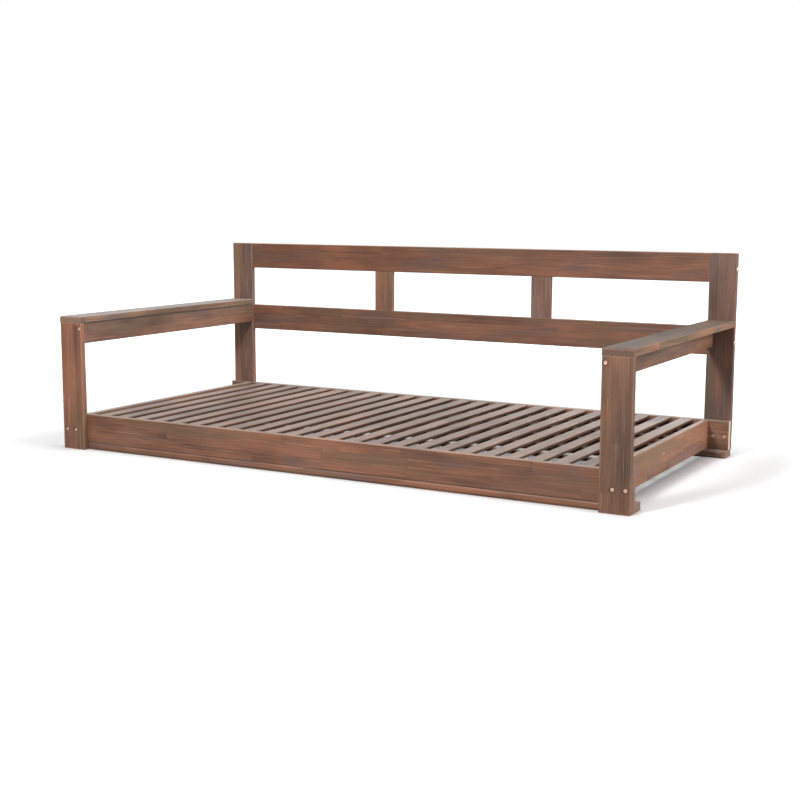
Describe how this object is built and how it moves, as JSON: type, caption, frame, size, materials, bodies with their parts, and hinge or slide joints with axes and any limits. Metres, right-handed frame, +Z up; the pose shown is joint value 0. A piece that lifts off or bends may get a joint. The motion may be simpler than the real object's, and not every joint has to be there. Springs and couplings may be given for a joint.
{
  "type": "porch swing",
  "caption": "Hanging daybed frame of stained hardwood with a low slatted seat, two flat-capped arms and an open railed back, held together with sunk bolts.",
  "frame": {"origin": "on the ground, under the middle of the frame", "axes": "+X along the seat to the right as seen from the open front, +Y from the front to the back, +Z up"},
  "size_m": [2.008, 0.995, 0.664],
  "materials": {
    "post_wood": "brown oil stain on finger-jointed hardwood",
    "rail_wood": "brown oil stain on finger-jointed hardwood",
    "cap_wood": "worn brown stain with a faint grey cast",
    "seat_wood": "worn brown stain with a faint grey cast",
    "under_wood": "dark brown stain",
    "copper_bolts": "copper-coloured plated heads",
    "zinc_hardware": "zinc-plated steel",
    "dowel_wood": "raw beech"
  },
  "bodies": {
    "root": {"slat_01": "seat_wood", "slat_02": "seat_wood", "slat_03": "seat_wood", "slat_04": "seat_wood", "slat_05": "seat_wood", "slat_06": "seat_wood", "slat_07": "seat_wood", "slat_08": "seat_wood", "slat_09": "seat_wood", "slat_10": "seat_wood", "slat_11": "seat_wood", "slat_12": "seat_wood", "slat_13": "seat_wood", "slat_14": "seat_wood", "slat_15": "seat_wood", "slat_16": "seat_wood", "slat_17": "seat_wood", "slat_18": "seat_wood", "slat_19": "seat_wood", "slat_20": "seat_wood", "slat_21": "seat_wood", "slat_22": "seat_wood", "slat_23": "seat_wood", "slat_24": "seat_wood", "front_left_post": "post_wood", "front_right_post": "post_wood", "rear_left_post": "post_wood", "rear_right_post": "post_wood", "left_arm_cap": "cap_wood", "right_arm_cap": "cap_wood", "left_arm_rail": "rail_wood", "right_arm_rail": "rail_wood", "left_side_rail": "rail_wood", "right_side_rail": "rail_wood", "front_rail": "rail_wood", "rear_rail": "rail_wood", "front_bearer": "post_wood", "rear_bearer": "post_wood", "top_back_rail": "rail_wood", "mid_back_rail": "rail_wood", "left_back_stile": "rail_wood", "right_back_stile": "rail_wood", "front_ledger": "under_wood", "rear_ledger": "under_wood", "centre_beam": "under_wood", "slat_batten_1": "under_wood", "slat_batten_2": "under_wood", "slat_batten_3": "under_wood", "slat_batten_4": "under_wood", "post_bolts": "copper_bolts", "post_nuts": "zinc_hardware", "arm_bolts": "copper_bolts", "back_rail_bolts": "copper_bolts", "barrel_nuts": "zinc_hardware", "beam_screws": "copper_bolts", "seat_screws": "zinc_hardware", "frame_screws": "zinc_hardware", "dowels": "dowel_wood"}
  },
  "joints": []
}
